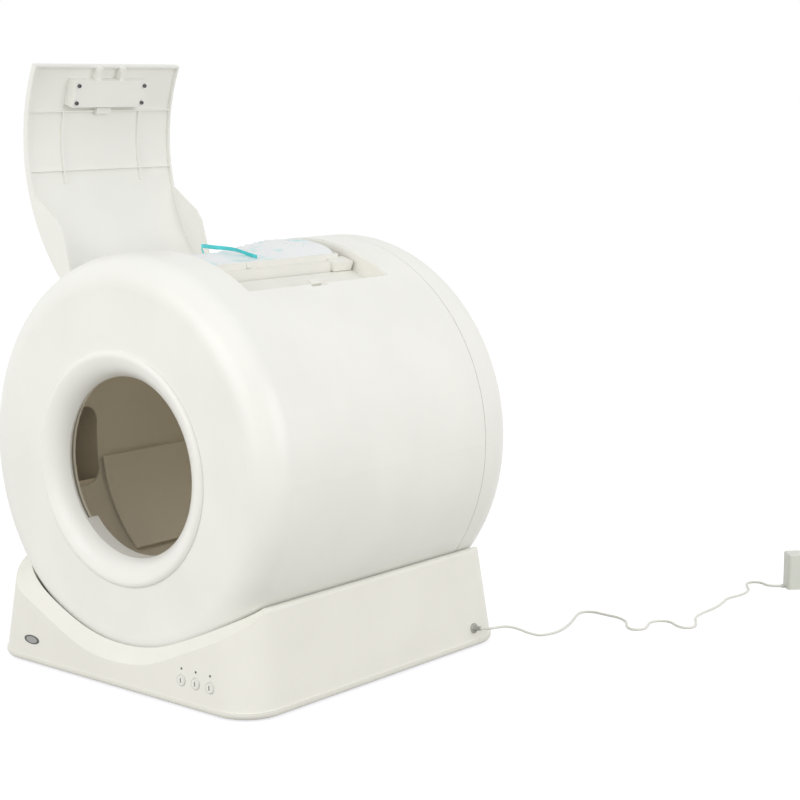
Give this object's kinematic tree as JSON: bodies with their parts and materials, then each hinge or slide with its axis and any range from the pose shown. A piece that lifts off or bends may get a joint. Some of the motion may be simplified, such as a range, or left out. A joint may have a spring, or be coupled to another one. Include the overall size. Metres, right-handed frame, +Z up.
{
  "type": "self-cleaning litter box",
  "caption": "Drum-shaped self-cleaning litter box on a cradle base, with a round entry, a hinged top lid over a bagged waste bin, push buttons, and a cord with a wall adapter.",
  "frame": {"origin": "on the floor below the middle of the base", "axes": "+Z up, -Y out of the round entry at the front, +X to the right seen from the front"},
  "size_m": [0.7515, 1.0738, 0.8067],
  "materials": {
    "shell_white": "satin white moulded plastic",
    "base_white": "satin warm white moulded plastic",
    "lid_white": "satin white moulded plastic",
    "liner_cream": "matt cream moulded plastic",
    "chute_cream": "matt cream moulded plastic",
    "bin_white": "matt white moulded plastic",
    "bag_film": "thin pale plastic film",
    "tape_teal": "flat plastic tape",
    "rubber_dark": "moulded rubber",
    "rubber_grey": "moulded rubber",
    "steel": "plain steel",
    "alloy": "milled aluminium",
    "screw_dark": "blackened steel",
    "nylon": "moulded nylon",
    "circuit_green": "printed circuit board",
    "button_white": "satin white moulded plastic",
    "lens_clear": "clear light guide",
    "badge_grey": "plain plate",
    "wire_black": "sleeved wires",
    "cord_white": "white cord jacket",
    "adapter_white": "white moulded plastic",
    "prong_brass": "plated blades"
  },
  "bodies": {
    "base": {"base_tray": "base_white", "base_cover": "base_white", "rubber_feet": "rubber_grey", "load_cells": "alloy", "base_screws": "screw_dark", "shaft_brackets": "nylon", "axle_brackets": "nylon", "idler_axle": "steel", "gear_motor": "steel", "motor_bracket": "steel", "motor_screws": "screw_dark", "control_board": "circuit_green", "button_board": "circuit_green", "light_guides": "lens_clear", "badge_plate": "badge_grey", "drum_sensor": "circuit_green", "wiring_loom": "wire_black", "cord_gland": "rubber_grey", "power_cord": "cord_white", "power_adapter": "adapter_white", "adapter_prongs": "prong_brass"},
    "drive": {"drive_shaft": "steel", "drive_wheels": "nylon", "drive_tyres": "rubber_dark", "drive_gear": "nylon"},
    "pinion": {"motor_pinion": "steel"},
    "idler": {"idler_wheels": "nylon", "idler_tyres": "rubber_dark"},
    "drum": {"drum_shell": "shell_white", "rear_cover": "shell_white", "rear_cover_screws": "screw_dark", "entry_ring": "shell_white", "litter_lip": "shell_white", "upper_liner": "liner_cream", "lower_liner": "liner_cream", "sieve_scoop": "liner_cream", "waste_chute": "chute_cream", "bin_frame": "bin_white", "hinge_pin": "steel", "latch_striker": "bin_white", "home_magnet": "steel"},
    "lid": {"lid_panel": "lid_white", "latch_cover": "lid_white", "latch_cover_screws": "screw_dark"},
    "latch": {"latch_bolt": "button_white"},
    "bin": {"waste_bin": "bin_white", "waste_bag": "bag_film", "bag_drawstring": "tape_teal"},
    "button_left": {"button_1": "button_white"},
    "button_middle": {"button_2": "button_white"},
    "button_right": {"button_3": "button_white"}
  },
  "joints": [
    {"name": "drum_spin", "type": "hinge", "parent": "base", "child": "drum", "pos_m": [0, 0, 0.295], "axis": [0, -1, 0], "range_deg": [-135, 60]},
    {"name": "drive_spin", "type": "hinge", "parent": "base", "child": "drive", "pos_m": [0.18917, 0, 0.06955], "axis": [0, -1, 0], "range_deg": [-675, 1518.75]},
    {"name": "pinion_spin", "type": "hinge", "parent": "base", "child": "pinion", "pos_m": [0.2046, 0, 0.05117], "axis": [0, -1, 0], "range_deg": [-4556.25, 2025]},
    {"name": "idler_spin", "type": "hinge", "parent": "base", "child": "idler", "pos_m": [-0.18917, 0, 0.06955], "axis": [0, -1, 0], "range_deg": [-675, 1518.75]},
    {"name": "lid_hinge", "type": "hinge", "parent": "drum", "child": "lid", "pos_m": [-0.18201, 0, 0.4872], "axis": [0, -1, 0], "range_deg": [-98.2, 0]},
    {"name": "latch_slide", "type": "slide", "parent": "lid", "child": "latch", "axis": [0.279, 0, 0.9603], "range_m": [0, 0.007]},
    {"name": "bin_lift", "type": "slide", "parent": "drum", "child": "bin", "axis": [0, 0, 1], "range_m": [0, 0.13]},
    {"name": "button_left_press", "type": "slide", "parent": "base", "child": "button_left", "axis": [0, 1, 0], "range_m": [0, 0.0008], "stiffness_N_per_m": 600},
    {"name": "button_middle_press", "type": "slide", "parent": "base", "child": "button_middle", "axis": [0, 1, 0], "range_m": [0, 0.0008], "stiffness_N_per_m": 600},
    {"name": "button_right_press", "type": "slide", "parent": "base", "child": "button_right", "axis": [0, 1, 0], "range_m": [0, 0.0008], "stiffness_N_per_m": 600}
  ],
  "couplings": [
    {"joint": "drive_spin", "follows": "drum_spin", "ratio": -11.25},
    {"joint": "idler_spin", "follows": "drum_spin", "ratio": -11.25},
    {"joint": "pinion_spin", "follows": "drum_spin", "ratio": 33.75}
  ]
}
